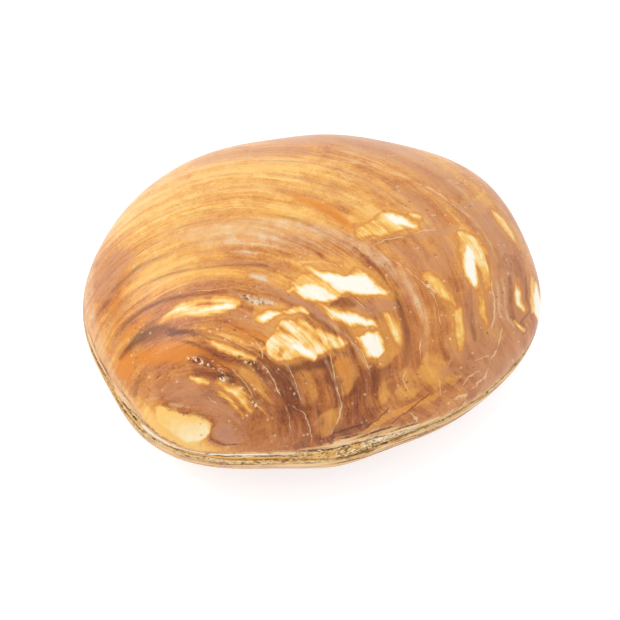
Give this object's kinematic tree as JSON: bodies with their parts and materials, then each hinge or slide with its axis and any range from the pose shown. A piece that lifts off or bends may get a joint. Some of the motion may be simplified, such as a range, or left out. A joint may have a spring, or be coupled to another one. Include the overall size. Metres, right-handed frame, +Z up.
{
  "type": "fossil clam",
  "caption": "Polished fossil clam: two petrified valves closed on a thin bed of hardened sediment, lying on the lower valve.",
  "frame": {"origin": "middle of the box in plan, at the flat that the lower valve lies on", "axes": "+X along the shell towards its posterior end, +Y from the hinge side towards the ventral margin, +Z up out of the upper valve"},
  "size_m": [0.0804, 0.065, 0.0327],
  "materials": {
    "upper_valve": "polished, banded amber and brown with white patches",
    "lower_valve": "polished, banded tan and brown",
    "seam_matrix": "rough, gritty sediment"
  },
  "bodies": {
    "root": {"upper_valve": "upper_valve", "lower_valve": "lower_valve", "seam_matrix": "seam_matrix"}
  },
  "joints": []
}
